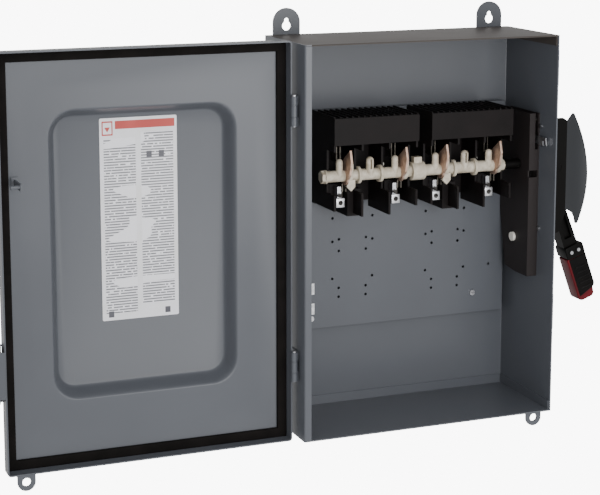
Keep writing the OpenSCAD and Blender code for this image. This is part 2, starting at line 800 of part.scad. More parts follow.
// Outline of the grip from the collar to its rounded, slanted end
module grip_outline(inset)
  intersection() {
    translate([2, -(collar_r1 + handle_reach) / 2 - 10])
      round_rect(2 * grip_half - 2 * inset, handle_reach - collar_r1 + 20 - 2 * inset, 9);
    polygon([[-30, -collar_r1], [30, -collar_r1], [30, -handle_reach + 14], [14, -handle_reach],
             [-30, -handle_reach]]);
  }

module handle_grip()
  color("#161313") at_handle() difference() {
    y_plate(axis_y - grip_t / 2, axis_y + grip_t / 2) difference() {
      grip_outline(0);
      translate([-grip_half - 4, -handle_reach - 1]) square([9, handle_reach - collar_r1 + 2]);
      translate([-grip_half - 4, -handle_reach - 1]) square([2 * grip_half + 8, 8]);
    }
    for (i = [0:2])
      y_rod(1.2, axis_y - grip_t, axis_y + grip_t, grip_half + 2.4, -collar_r1 - 14 - i * 14);
  }

// The coloured half of the grip, along its inner edge and round its end
module grip_insert()
  color("#6a0f1a") at_handle() y_plate(axis_y - grip_t / 2 + 1, axis_y + grip_t / 2 - 1)
    difference() {
      grip_outline(0);
      translate([-grip_half + 4.9, -handle_reach + 6.9]) square([2 * grip_half, handle_reach]);
    }

module collar_screws()
  color("#c4c5c8") at_handle() for (x = [-5, 7])
    y_rod(2.6, axis_y - 17, axis_y - 15.1, x, -collar_r0 - 9);

// ---- door ----

module emboss_solid(grow, y0, y1) {
  x0 = door_x0 + emboss_hinge_margin - grow;
  x1 = door_x1 - emboss_free_margin + grow;
  z0 = door_z0 + emboss_bottom_margin - grow;
  z1 = door_z1 - emboss_top_margin + grow;
  s = emboss_slope;
  hull() {
    for (x = [x0 + emboss_r, x1 - emboss_r], z = [z0 + emboss_r, z1 - emboss_r]) {
      y_rod(emboss_r, y0 - 0.1, y0, x, z, $fn = 32);
      y_rod(emboss_r - s, y1, y1 + 0.1, x, z, $fn = 32);
    }
  }
}

module door_shell()
  color("#6c7379") swung_open() difference() {
    union() {
      block(door_x0, door_x1, door_y - sheet, door_tip_y, door_z0, door_z1);
      emboss_solid(sheet * 0.6, door_y - sheet + 0.1, door_y - sheet - emboss_d);
    }
    block(door_x0 + sheet, door_x1 - sheet, door_y, door_tip_y + 1, door_z0 + sheet, door_z1 - sheet);
    emboss_solid(0, door_y + 0.1, door_y - emboss_d);
  }

module door_hinge_leaves()
  color("#5d5e62") swung_open() for (z = hinge_zs) {
    difference() {
      union() {
        block(door_x0 - 1.9, door_x0 - 0.1, door_y + 4, hinge_y, z - 7.6, z + 7.6);
        z_rod(knuckle_r, z - 7.6, z + 7.6, hinge_x, hinge_y);
      }
      z_rod(hinge_pin_r + run_gap, z - 9, z + 9, hinge_x, hinge_y);
    }
  }

module door_gasket()
  color("#1c1716") swung_open() difference() {
    block(door_x0 + sheet + 0.1, door_x1 - sheet - 0.1, door_y + 0.1, door_y + gasket_t,
          door_z0 + sheet + 0.1, door_z1 - sheet - 0.1);
    block(door_x0 + sheet + gasket_w, door_x1 - sheet - gasket_w, door_y - 1, door_y + gasket_t + 1,
          door_z0 + sheet + gasket_w, door_z1 - sheet - gasket_w);
  }

module door_label()
  color("#e6e6ec") swung_open()
    block(label_x, label_x + label_w, door_y - emboss_d + 0.1, door_y - emboss_d + 0.1 + label_t,
          label_z - label_h / 2, label_z + label_h / 2);

// The catch on the door that the interlock lever holds
module interlock_catch()
  color("#6b6c70") swung_open() union() {
    block(side_x - 4, side_x + 5, door_y + 0.1, door_y + 2.1, catch_z - 7, catch_z + 7);
    block(side_x - 0.5, side_x + 1.5, door_y + 0.1, catch_y + 4, catch_z - 5, catch_z + 4);
    x_rod(catch_r, side_x, interlock_x + 2, catch_y, catch_z);
  }

module door_padlock_tab()
  color("#6c7379") swung_open() difference() {
    union() {
      y_plate(door_tip_y - 2, door_tip_y) intersection() {
        union() {
          translate([padlock_x, padlock_z]) circle(padlock_plate_r);
          translate([padlock_x - padlock_plate_r, padlock_z]) square([2 * padlock_plate_r, 20]);
        }
        translate([padlock_x - 20, door_z0 - 30]) square([40, 29.9]);
      }
      block(padlock_x - padlock_plate_r, padlock_x + padlock_plate_r, door_y + 4, door_tip_y,
            door_z0 - 2, door_z0 - 0.1);
    }
    y_rod(padlock_r, door_tip_y - 3, door_tip_y + 1, padlock_x, padlock_z);
  }

// Ears and pins that carry the latch levers on the door's free edge
module latch_brackets()
  color("#6c7379") swung_open() for (z = latch_zs) {
    for (s = [-1, 1])
      difference() {
        block(door_x1 + 0.1, latch_x + 2, latch_y - 2.5, latch_y + 2.5,
              z + s * (latch_half + 2) - 1, z + s * (latch_half + 2) + 1);
        z_rod(latch_pin_r, z + s * (latch_half + 2) - 2, z + s * (latch_half + 2) + 2, latch_x, latch_y);
      }
    z_rod(latch_pin_r, z - latch_half - 3.5, z + latch_half + 3.5, latch_x, latch_y);
  }

// A lever with a hooked end that passes behind the box's clip; it rests released
module latch_lever(z)
  swung_open() translate([latch_x, latch_y, 0]) rotate([0, 0, -latch_free_deg])
    translate([-latch_x, -latch_y, 0]) difference() {
    union() {
      z_rod(2.4, z - latch_half, z + latch_half, latch_x, latch_y);
      block(latch_x - 0.9, latch_x + 0.9, latch_y, front + 18, z - latch_half, z + latch_half);
      block(right + 0.8, latch_x + 0.9, front + 15.8, front + 18, z - latch_half + 6, z + latch_half - 2);
    }
    z_rod(latch_pin_r + run_gap, z - latch_half - 1, z + latch_half + 1, latch_x, latch_y);
  }

module latch_lever_upper() color("#74777b") latch_lever(latch_zs[0]);
module latch_lever_lower() color("#74777b") latch_lever(latch_zs[1]);

enclosure_wrapper();
top_end_wall();
bottom_end_wall();
mounting_lugs();
padlock_loop();
box_hinge_leaves();
hinge_pins();
latch_clips();
mounting_pan();
pan_screws();
ground_lugs();
ground_screws();
switch_base_left();
switch_base_right();
line_shields();
base_screws();
base_screw_caps();
load_lugs();
load_straps();
line_lugs();
line_jaws();
terminal_screws();
mechanism_side_plate();
mechanism_base_plate();
mechanism_spacers();
anchor_roller();
handle_housing();
handle_guard();
handle_pivot_pin();
housing_screws();
door_shell();
door_hinge_leaves();
door_gasket();
door_label();
interlock_catch();
door_padlock_tab();
latch_brackets();
latch_lever_upper();
latch_lever_lower();
handle_arm();
handle_collar();
handle_grip();
grip_insert();
collar_screws();
drive_slide();
crossbar_left();
crossbar_right();
crossbar_coupling();
crossbar_end_bolt();
contact_blades();
drive_shaft();
rotor_driver();
spring_guide();
toggle_spring();
interlock_lever();
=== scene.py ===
"""Looks of a heavy-duty safety switch: a grey steel box with its door swung open."""
import json
import logging
import math
from dataclasses import dataclass
from enum import Enum
from typing import Callable, Optional

import bmesh
import bpy
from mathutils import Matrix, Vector


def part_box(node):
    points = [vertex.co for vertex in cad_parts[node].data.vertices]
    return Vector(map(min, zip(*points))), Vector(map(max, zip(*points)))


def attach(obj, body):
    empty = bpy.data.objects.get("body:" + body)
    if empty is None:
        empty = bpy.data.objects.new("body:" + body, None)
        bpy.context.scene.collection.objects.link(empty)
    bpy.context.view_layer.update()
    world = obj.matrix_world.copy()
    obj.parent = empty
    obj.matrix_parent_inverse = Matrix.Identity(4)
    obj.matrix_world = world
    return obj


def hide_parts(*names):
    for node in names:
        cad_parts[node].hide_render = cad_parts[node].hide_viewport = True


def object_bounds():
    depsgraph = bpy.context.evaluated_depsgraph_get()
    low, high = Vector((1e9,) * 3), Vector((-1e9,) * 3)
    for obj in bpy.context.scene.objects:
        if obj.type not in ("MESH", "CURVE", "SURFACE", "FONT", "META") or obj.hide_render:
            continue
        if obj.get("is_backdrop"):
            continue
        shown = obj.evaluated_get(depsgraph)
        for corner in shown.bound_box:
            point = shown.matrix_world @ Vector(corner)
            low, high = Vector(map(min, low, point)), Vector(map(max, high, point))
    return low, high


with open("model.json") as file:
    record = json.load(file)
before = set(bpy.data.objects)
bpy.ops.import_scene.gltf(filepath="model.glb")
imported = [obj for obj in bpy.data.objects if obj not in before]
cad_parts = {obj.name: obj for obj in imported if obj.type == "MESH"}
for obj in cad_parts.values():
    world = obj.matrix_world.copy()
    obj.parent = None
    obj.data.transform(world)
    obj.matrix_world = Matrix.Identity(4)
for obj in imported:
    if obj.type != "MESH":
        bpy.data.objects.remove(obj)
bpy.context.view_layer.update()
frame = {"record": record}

LOG = logging.getLogger("safety_switch")
MM = 0.001
# How near two places are when they count as one, tightly and loosely
TOUCH = 0.05 * MM
NEAR = 0.1 * MM

Point = tuple[float, float, float]
FaceTest = Callable[[Vector, Vector], bool]
EdgeTest = Callable[[Vector, Vector], bool]


class Body(Enum):
    """The bodies that new pieces ride on."""

    ENCLOSURE = "enclosure"
    DOOR = "door"
    HANDLE = "handle"


# ---- colour and shader helpers ----


def linear(hex_colour: str) -> tuple[float, float, float, float]:
    """Turn an sRGB hex colour into linear light.

    Args:
        hex_colour: Six hex digits after a hash sign.

    Returns:
        Red, green, blue and an alpha of one.
    """
    parts = [int(hex_colour[i : i + 2], 16) / 255 for i in (1, 3, 5)]
    red, green, blue = (p / 12.92 if p <= 0.04045 else ((p + 0.055) / 1.055) ** 2.4 for p in parts)
    return (red, green, blue, 1.0)


def add_node(
    tree: bpy.types.NodeTree,
    kind: str,
    settings: Optional[dict] = None,
    links: Optional[dict] = None,
) -> bpy.types.Node:
    """Add a shader node with its settings and links.

    Args:
        tree: The material's node tree.
        kind: The node's type name.
        settings: Input names or indexes, or node properties, with their values.
        links: Input names or indexes, with the sockets that feed them.

    Returns:
        The new node.
    """
    node = tree.nodes.new(kind)
    for key, value in (settings or {}).items():
        if isinstance(key, int) or key in node.inputs:
            node.inputs[key].default_value = value
        else:
            setattr(node, key, value)
    for key, socket in (links or {}).items():
        tree.links.new(socket, node.inputs[key])
    return node


def new_material(name: str) -> tuple[bpy.types.Material, bpy.types.NodeTree, bpy.types.Node]:
    """Make an empty material with an output.

    Args:
        name: The material's name.

    Returns:
        The material, its node tree and its output node.
    """
    material = bpy.data.materials.new(name)
    material.use_nodes = True
    tree = material.node_tree
    tree.nodes.clear()
    return material, tree, add_node(tree, "ShaderNodeOutputMaterial")


def object_point(tree: bpy.types.NodeTree) -> bpy.types.NodeSocket:
    """Give the surface's place in the object's own metres."""
    return add_node(tree, "ShaderNodeTexCoord").outputs["Object"]


def per_metre(period_mm: float) -> float:
    """Turn a pattern's period in millimetres into a texture scale."""
    return 1000.0 / period_mm


# ---- finishes ----


@dataclass(frozen=True)
class BakedEnamel:
    """Sprayed enamel baked on folded sheet steel: satin, with a faint orange peel."""

    name: str
    colour: str
    worn: str
    roughness: float = 0.42
    mottle: float = 0.10
    peel_mm: float = 1.6
    peel_depth_mm: float = 0.02
    scuffs: float = 0.35
    shine: float = 0.5

    def make(self) -> bpy.types.Material:
        """Build the paint.

        Returns:
            The material, with drifted colour, faint scuffs and a fine ripple.
        """
        material, tree, out = new_material(self.name)
        place = object_point(tree)
        # Slow drift of the film's thickness over a hand's width
        drift = add_node(tree, "ShaderNodeTexNoise", {"Scale": per_metre(130), "Detail": 3.0},
                         {"Vector": place})
        # Hair-fine rubs from handling, long in Z and narrow across
        stretch = add_node(tree, "ShaderNodeMapping", {"Scale": (1.0, 1.0, 0.12)}, {"Vector": place})
        rub = add_node(tree, "ShaderNodeTexNoise",
                       {"Scale": per_metre(6), "Detail": 6.0, "Roughness": 0.7},
                       {"Vector": stretch.outputs[0]})
        rub_mask = add_node(tree, "ShaderNodeMapRange",
                            {"From Min": 0.66, "From Max": 0.8, "To Max": self.scuffs},
                            {"Value": rub.outputs[0]})
        shade = add_node(tree, "ShaderNodeMapRange",
                         {"To Min": 1.0 - self.mottle, "To Max": 1.0 + self.mottle},
                         {"Value": drift.outputs[0]})
        tinted = add_node(tree, "ShaderNodeMix",
                          {"data_type": "RGBA", "blend_type": "MULTIPLY", 0: 1.0,
                           6: linear(self.colour)},
                          {7: shade.outputs[0]})
        paint = add_node(tree, "ShaderNodeMix", {"data_type": "RGBA", 7: linear(self.worn)},
                         {0: rub_mask.outputs[0], 6: tinted.outputs[2]})
        gloss = add_node(tree, "ShaderNodeMapRange",
                         {"To Min": self.roughness - 0.07, "To Max": self.roughness + 0.09},
                         {"Value": drift.outputs[0]})
        peel = add_node(tree, "ShaderNodeTexNoise", {"Scale": per_metre(self.peel_mm), "Detail": 1.0},
                        {"Vector": place})
        ripple = add_node(tree, "ShaderNodeBump",
                          {"Strength": 0.5, "Distance": self.peel_depth_mm * MM},
                          {"Height": peel.outputs[0]})
        shader = add_node(tree, "ShaderNodeBsdfPrincipled",
                          {"IOR": 1.5, "Specular IOR Level": self.shine},
                          {"Base Color": paint.outputs[2], "Roughness": gloss.outputs[0],
                           "Normal": ripple.outputs[0]})
        tree.links.new(shader.outputs[0], out.inputs[0])
        return material


@dataclass(frozen=True)
class PlatedMetal:
    """Plated or bare metal with a drawn or rolled grain."""

    name: str
    colour: str
    shadow: str
    roughness: float = 0.34
    grain_mm: float = 0.8
    grain_stretch: Point = (1.0, 1.0, 0.15)
    spots_mm: float = 7.0
    depth_mm: float = 0.01

    def make(self) -> bpy.types.Material:
        """Build the metal.

        Returns:
            The material, with cloudy plating and a fine grain.
        """
        material, tree, out = new_material(self.name)
        place = object_point(tree)
        cloud = add_node(tree, "ShaderNodeTexNoise", {"Scale": per_metre(self.spots_mm), "Detail": 4.0},
                         {"Vector": place})
        run = add_node(tree, "ShaderNodeMapping", {"Scale": self.grain_stretch}, {"Vector": place})
        grain = add_node(tree, "ShaderNodeTexNoise", {"Scale": per_metre(self.grain_mm), "Detail": 2.0},
                         {"Vector": run.outputs[0]})
        band = add_node(tree, "ShaderNodeMapRange", {"From Min": 0.35, "From Max": 0.7},
                        {"Value": cloud.outputs[0]})
        metal = add_node(tree, "ShaderNodeMix",
                         {"data_type": "RGBA", 6: linear(self.shadow), 7: linear(self.colour)},
                         {0: band.outputs[0]})
        gloss = add_node(tree, "ShaderNodeMapRange",
                         {"To Min": self.roughness - 0.1, "To Max": self.roughness + 0.14},
                         {"Value": grain.outputs[0]})
        lines = add_node(tree, "ShaderNodeBump", {"Strength": 0.4, "Distance": self.depth_mm * MM},
                         {"Height": grain.outputs[0]})
        shader = add_node(tree, "ShaderNodeBsdfPrincipled", {"Metallic": 1.0},
                          {"Base Color": metal.outputs[2], "Roughness": gloss.outputs[0],
                           "Normal": lines.outputs[0]})
        tree.links.new(shader.outputs[0], out.inputs[0])
        return material


@dataclass(frozen=True)
class Moulding:
    """Moulded plastic or rubber: a fine die texture, with a slow change of tone."""

    name: str
    colour: str
    tone: str
    roughness: float = 0.45
    texture_mm: float = 1.2
    texture_depth_mm: float = 0.02
    tone_mm: float = 30.0
    ior: float = 1.5
    shine: float = 0.5

    def make(self) -> bpy.types.Material:
        """Build the moulded surface.

        Returns:
            The material, toned by slow noise and pitted by fine noise.
        """
        material, tree, out = new_material(self.name)
        place = object_point(tree)
        slow = add_node(tree, "ShaderNodeTexNoise", {"Scale": per_metre(self.tone_mm), "Detail": 5.0},
                        {"Vector": place})
        fine = add_node(tree, "ShaderNodeTexNoise",
                        {"Scale": per_metre(self.texture_mm), "Detail": 2.0}, {"Vector": place})
        spread = add_node(tree, "ShaderNodeMapRange", {"From Min": 0.35, "From Max": 0.68},
                          {"Value": slow.outputs[0]})
        colour = add_node(tree, "ShaderNodeMix",
                          {"data_type": "RGBA", 6: linear(self.colour), 7: linear(self.tone)},
                          {0: spread.outputs[0]})
        gloss = add_node(tree, "ShaderNodeMapRange",
                         {"To Min": self.roughness - 0.06, "To Max": self.roughness + 0.12},
                         {"Value": slow.outputs[0]})
        pits = add_node(tree, "ShaderNodeBump",
                        {"Strength": 0.6, "Distance": self.texture_depth_mm * MM},
                        {"Height": fine.outputs[0]})
        shader = add_node(tree, "ShaderNodeBsdfPrincipled",
                          {"IOR": self.ior, "Specular IOR Level": self.shine},
                          {"Base Color": colour.outputs[2], "Roughness": gloss.outputs[0],
                           "Normal": pits.outputs[0]})
        tree.links.new(shader.outputs[0], out.inputs[0])
        return material


@dataclass(frozen=True)
class PrintedFilm:
    """Label film with rows of fine grey print, broken into words and paragraphs."""

    name: str
    film: str = "#e9e9ee"
    ink: str = "#45464f"
    row_mm: float = 3.6
    word_mm: float = 4.6
    paragraph_mm: float = 26.0
    density: float = 0.85

    def make(self) -> bpy.types.Material:
        """Build the print.

        Returns:
            The material, with dashes in rows that stand for lines of small print.
        """
        material, tree, out = new_material(self.name)
        place = object_point(tree)
        split = add_node(tree, "ShaderNodeSeparateXYZ", links={0: place})
        row = add_node(tree, "ShaderNodeMath", {"operation": "MULTIPLY", 1: per_metre(self.row_mm)},
                       {0: split.outputs[2]})
        step = add_node(tree, "ShaderNodeMath", {"operation": "FRACT"}, {0: row.outputs[0]})
        line = add_node(tree, "ShaderNodeMath", {"operation": "LESS_THAN", 1: 0.5},
                        {0: step.outputs[0]})
        whole = add_node(tree, "ShaderNodeMath", {"operation": "FLOOR"}, {0: row.outputs[0]})
        cell = add_node(tree, "ShaderNodeCombineXYZ", links={0: split.outputs[0], 2: whole.outputs[0]})
        spread = add_node(tree, "ShaderNodeMapping", {"Scale": (per_metre(self.word_mm), 1.0, 7.3)},
                          {"Vector": cell.outputs[0]})
        words = add_node(tree, "ShaderNodeTexNoise", {"Scale": 1.0, "Detail": 1.0},
                         {"Vector": spread.outputs[0]})
        gap = add_node(tree, "ShaderNodeMath", {"operation": "GREATER_THAN", 1: 0.38},
                       {0: words.outputs[0]})
        block = add_node(tree, "ShaderNodeMapping",
                         {"Scale": (per_metre(90), 1.0, per_metre(self.paragraph_mm))},
                         {"Vector": place})
        patch = add_node(tree, "ShaderNodeTexNoise", {"Scale": 1.0, "Detail": 0.0},
                         {"Vector": block.outputs[0]})
        paragraph = add_node(tree, "ShaderNodeMath", {"operation": "GREATER_THAN", 1: 0.33},
                             {0: patch.outputs[0]})
        both = add_node(tree, "ShaderNodeMath", {"operation": "MULTIPLY"},
                        {0: line.outputs[0], 1: gap.outputs[0]})
        inked = add_node(tree, "ShaderNodeMath", {"operation": "MULTIPLY"},
                         {0: both.outputs[0], 1: paragraph.outputs[0]})
        amount = add_node(tree, "ShaderNodeMath", {"operation": "MULTIPLY", 1: self.density},
                          {0: inked.outputs[0]})
        colour = add_node(tree, "ShaderNodeMix",
                          {"data_type": "RGBA", 6: linear(self.film), 7: linear(self.ink)},
                          {0: amount.outputs[0]})
        shader = add_node(tree, "ShaderNodeBsdfPrincipled", {"Roughness": 0.38, "IOR": 1.52},
                          {"Base Color": colour.outputs[2]})
        tree.links.new(shader.outputs[0], out.inputs[0])
        return material


class Finishes:
    """Every finish on the switch, made once and handed out by slot name."""

    RECIPES = {
        # Sprayed and baked on folded sheet: blue-grey, satin, with soft broad highlights
        "grey_enamel": BakedEnamel("grey_baked_enamel", "#505359", "#6a6e74", 0.33),
        # The same spray, nearly black and duller: the darkening is painted shade on the handle guard
        "guard_enamel": BakedEnamel("guard_painted_shade_enamel", "#242629", "#3b3e41", 0.42, shine=0.3),
        # Thick black stove enamel, warm where it is rubbed
        "black_enamel": BakedEnamel("black_baked_enamel", "#080706", "#1d1a17", 0.42, peel_mm=2.2,
                                    shine=0.1),
        # Bright barrel plating with a faint cloud
        "zinc_steel": PlatedMetal("zinc_plated_steel", "#d2d3d6", "#a8a9ad", 0.32),
        # Rolled and oiled: dark, with a soft grain
        "bare_steel": PlatedMetal("oiled_cold_rolled_steel", "#4f4d4b", "#343230", 0.4),
        # Moulded hot: brown-black with a dry sheen
        "black_moulding": Moulding("black_phenolic_moulding", "#0d0909", "#151010", 0.5,
                                   texture_mm=1.5, shine=0.15),
        # Glass-filled: speckled and yellowish
        "cream_moulding": Moulding("cream_polyester_moulding", "#cbc3b3", "#a79c88", 0.4,
                                   texture_mm=1.2, texture_depth_mm=0.03, tone_mm=9.0),
        # Undyed, milky and slightly warm
        "white_nylon": Moulding("natural_nylon", "#e4e1d8", "#cfccc2", 0.4, ior=1.53),
        # Extruded and tinned: pale and evenly bright
        "tin_plate": PlatedMetal("tin_plated_aluminium", "#e8e8ea", "#c3c4c7", 0.3, spots_mm=4.0),
        # Tinned copper, warm grey, darkened all over as painted shade for the jaws and straps that wear
        # it, which sit in shade
        "tin_copper": PlatedMetal("tin_plated_copper_painted_shade", "#77726a", "#4f4b45", 0.42),
        # Rolled strip, pale pink and softly matt
        "copper": PlatedMetal("rolled_copper", "#dcc3b3", "#bfa08d", 0.55, spots_mm=6.0),
        # Cut foam: matt black, its cells drawn coarse enough to see
        "gasket_foam": Moulding("neoprene_foam", "#0d0b0a", "#171413", 0.85, shine=0.15, texture_mm=1.4,
                                texture_depth_mm=0.25, ior=1.45),
        # Cast film: clean, cool white and nearly smooth
        "label_film": Moulding("polyester_label_film", "#e6e6ec", "#dededf", 0.36,
                               texture_depth_mm=0.004),
        # Injection moulded, with a fine die grain
        "black_grip": Moulding("black_glass_filled_nylon", "#060505", "#0b0908", 0.4, texture_mm=1.8,
                               ior=1.53, shine=0.1),
        # Dyed through: deep red, soft at the highlights
        "maroon_grip": Moulding("maroon_nylon", "#620a15", "#4a0710", 0.38, ior=1.53, shine=0.2),
        # These have no slot of their own. The plates are browner and duller than the handle
        "plate_enamel": BakedEnamel("brown_black_enamel", "#231e1e", "#3a3330", 0.5, peel_mm=3.0,
                                    shine=0.3),
        # The top wall: the box's spray made darker, browner and duller, as painted shade on the top
        "top_painted_shade_enamel": BakedEnamel("top_wall_painted_shade_enamel", "#47423f", "#5f5954", 0.42, shine=0.2),
        # Offset ink: flat, without a sheen of its own
        "print": PrintedFilm("small_grey_print"),
        "red_ink": Moulding("red_printing_ink", "#b9382f", "#b0332b", 0.38, texture_depth_mm=0.004),
        "dark_ink": Moulding("dark_printing_ink", "#4a4a52", "#55555c", 0.38, texture_depth_mm=0.004),
    }

    # Nodes whose finish is a shade away from their slot's
    SHADES = {"mechanism_side_plate": "plate_enamel", "mechanism_base_plate": "plate_enamel"}

    def __init__(self) -> None:
        """Make all the materials."""
        self.made = {slot: recipe.make() for slot, recipe in self.RECIPES.items()}

    def get(self, slot: str) -> bpy.types.Material:
        """Give the material for one slot."""
        return self.made[slot]

    def dress_nodes(self) -> None:
        """Give every carried-over CAD node the finish of its slot."""
        for part in frame["record"]["subparts"]:
            piece = bpy.data.objects.get(part["node"])
            if piece is not None and piece.type == "MESH":
                piece.data.materials.clear()
                shade = self.SHADES.get(part["node"], part["material_slot"])
                piece.data.materials.append(self.get(shade))


# ---- modelling ----


class Workbench:
    """Models one piece with Blender's own tools, in the switch's frame."""

    def __init__(self, name: str) -> None:
        """Start a piece of the given name."""
        self.name = name
        self.piece: Optional[bpy.types.Object] = None

    @staticmethod
    def _clear() -> None:
        """Leave edit mode and deselect every object."""
        if bpy.context.mode != "OBJECT":
            bpy.ops.object.mode_set(mode="OBJECT")
        bpy.ops.object.select_all(action="DESELECT")

    def _adopt(self) -> None:
        """Name the new primitive and open it for editing."""
        self.piece = bpy.context.object
        self.piece.name = self.name
        self.piece.data.name = self.name
        bpy.ops.object.mode_set(mode="EDIT")
        bpy.ops.mesh.select_all(action="SELECT")

    def block(self, low: Vector, high: Vector) -> "Workbench":
        """Start from a box.

        Args:
            low: Its lowest corner, in metres.
            high: Its highest corner.

        Returns:
            This bench, in edit mode.
        """
        self._clear()
        bpy.ops.mesh.primitive_cube_add(size=1)
        self._adopt()
        bpy.ops.transform.resize(value=tuple(high - low), center_override=(0, 0, 0))
        bpy.ops.transform.translate(value=tuple((low + high) / 2))
        return self

    def rod(self, radius: float, start: Vector, end: Vector, sides: int = 40) -> "Workbench":
        """Start from a cylinder that lies along one of the frame's axes.

        Args:
            radius: Its radius, in metres.
            start: The middle of one end.
            end: The middle of the other end.
            sides: How many sides it has.

        Returns:
            This bench, in edit mode.
        """
        self._clear()
        along = end - start
        bpy.ops.mesh.primitive_cylinder_add(vertices=sides, radius=radius, depth=along.length)
        self._adopt()
        if abs(along.x) > 0:
            bpy.ops.transform.rotate(value=math.pi / 2, orient_axis="Y", center_override=(0, 0, 0))
        elif abs(along.y) > 0:
            bpy.ops.transform.rotate(value=math.pi / 2, orient_axis="X", center_override=(0, 0, 0))
        bpy.ops.transform.translate(value=tuple((start + end) / 2))
        return self

    def sheet(self, low: Vector, high: Vector) -> "Workbench":
        """Start from one upright face, square to Y and facing the front.

        Args:
            low: Its lowest corner, in metres.
            high: Its highest corner, at the same depth.

        Returns:
            This bench, in edit mode.
        """
        self._clear()
        bpy.ops.mesh.primitive_plane_add(size=1)
        self._adopt()
        bpy.ops.transform.rotate(value=math.pi / 2, orient_axis="X", center_override=(0, 0, 0))
        bpy.ops.transform.resize(value=(high.x - low.x, 1, high.z - low.z), center_override=(0, 0, 0))
        bpy.ops.transform.translate(value=tuple((low + high) / 2))
        return self

    def faces(self, test: FaceTest) -> "Workbench":
        """Select the faces whose middle and normal pass the test."""
        return self._select("FACE", lambda m: [
            f for f in m.faces if test(f.calc_center_median(), f.normal)])

    def edges(self, test: EdgeTest) -> "Workbench":
        """Select the edges whose middle and direction pass the test."""
        return self._select("EDGE", lambda m: [
            e for e in m.edges
            if test((e.verts[0].co + e.verts[1].co) / 2, (e.verts[1].co - e.verts[0].co).normalized())])

    def corners(self, test: Callable[[Vector], bool]) -> "Workbench":
        """Select the vertices whose place passes the test."""
        return self._select("VERT", lambda m: [v for v in m.verts if test(v.co)])

    def _select(self, mode: str, pick: Callable) -> "Workbench":
        """Replace the selection.

        Args:
            mode: FACE, EDGE or VERT.
            pick: Given the mesh, returns what to select.

        Returns:
            This bench.
        """
        bpy.ops.mesh.select_mode(type=mode)
        bpy.ops.mesh.select_all(action="DESELECT")
        mesh = bmesh.from_edit_mesh(self.piece.data)
        mesh.normal_update()
        for item in pick(mesh):
            item.select_set(True)
        mesh.select_flush_mode()
        bmesh.update_edit_mesh(self.piece.data)
        return self

    def bevel(self, width: float, segments: int = 3, corners: bool = False) -> "Workbench":
        """Round the selection.

        Args:
            width: How far the rounding reaches, in metres.
            segments: How many steps make the curve.
            corners: Whether vertices are rounded, not edges.

        Returns:
            This bench.
        """
        bpy.ops.mesh.bevel(offset=width, segments=segments, affect="VERTICES" if corners else "EDGES",
                           profile=0.5)
        return self

    def inset(self, thickness: float, depth: float = 0.0) -> "Workbench":
        """Inset the selected faces, and raise or sink what is inside."""
        bpy.ops.mesh.inset(thickness=thickness, depth=depth)
        return self

    def draw_out(self, step: Point) -> "Workbench":
        """Extrude the selection along a straight step."""
        bpy.ops.mesh.extrude_region_move(TRANSFORM_OT_translate={"value": step})
        return self

    def draw_edges(self, step: Point) -> "Workbench":
        """Extrude the selected edges along a straight step."""
        bpy.ops.mesh.extrude_edges_move(TRANSFORM_OT_translate={"value": step})
        return self

    def move(self, step: Point) -> "Workbench":
        """Shift the selection."""
        bpy.ops.transform.translate(value=step)
        return self

    def stretch(self, factors: Point, about: Vector) -> "Workbench":
        """Scale the selection about a point."""
        bpy.ops.transform.resize(value=factors, center_override=tuple(about))
        return self

    def turn(self, angle: float, axis: str, about: Vector) -> "Workbench":
        """Turn the whole piece about a point.

        Args:
            angle: How far, in radians.
            axis: The frame's axis that it turns round.
            about: The point.

        Returns:
            This bench.
        """
        bpy.ops.mesh.select_all(action="SELECT")
        bpy.ops.transform.rotate(value=angle, orient_axis=axis, center_override=tuple(about))
        return self

    def remove(self, kind: str = "FACE") -> "Workbench":
        """Delete the selection."""
        bpy.ops.mesh.delete(type=kind)
        return self

    def modifier(self, kind: str, **settings: object) -> "Workbench":
        """Apply one modifier.

        Args:
            kind: The modifier's type.
            **settings: Its settings.

        Returns:
            This bench, back in edit mode.
        """
        bpy.ops.object.mode_set(mode="OBJECT")
        made = self.piece.modifiers.new(kind.lower(), kind)
        for key, value in settings.items():
            setattr(made, key, value)
        bpy.ops.object.modifier_apply(modifier=made.name)
        bpy.ops.object.mode_set(mode="EDIT")
        return self

    def cut(self, cutters: list["Workbench"]) -> "Workbench":
        """Take other closed pieces out of this one, and discard them."""
        for cutter in cutters:
            self._clear()
            bpy.context.view_layer.objects.active = self.piece
            self.piece.select_set(True)
            bpy.ops.object.mode_set(mode="EDIT")
            self.modifier("BOOLEAN", operation="DIFFERENCE", object=cutter.piece, solver="EXACT")
            bpy.data.objects.remove(cutter.piece)
        return self

    def set_down(self) -> bpy.types.Object:
        """Leave edit mode with a clean mesh.

        Returns:
            The piece, its doubles merged and its normals outward.
        """
        bpy.ops.mesh.select_all(action="SELECT")
        bpy.ops.mesh.remove_doubles(threshold=0.000001)
        bpy.ops.mesh.normals_make_consistent(inside=False)
        bpy.ops.object.mode_set(mode="OBJECT")
        return self.piece

    def finish(self, material: bpy.types.Material, body: Body, slot: str,
               replaced: tuple[str, ...] = (), angle: float = 32.0) -> bpy.types.Object:
        """Close the piece, dress it and hang it on its body.

        Args:
            material: The finish it takes.
            body: The body that it rides on.
            slot: The record's slot that the finish belongs to; not used.
            replaced: The CAD nodes that it stands for.
            angle: Edges flatter than this, in degrees, are shaded smooth.

        Returns:
            The finished piece.
        """
        return hang(self.set_down(), material, body, replaced, angle)


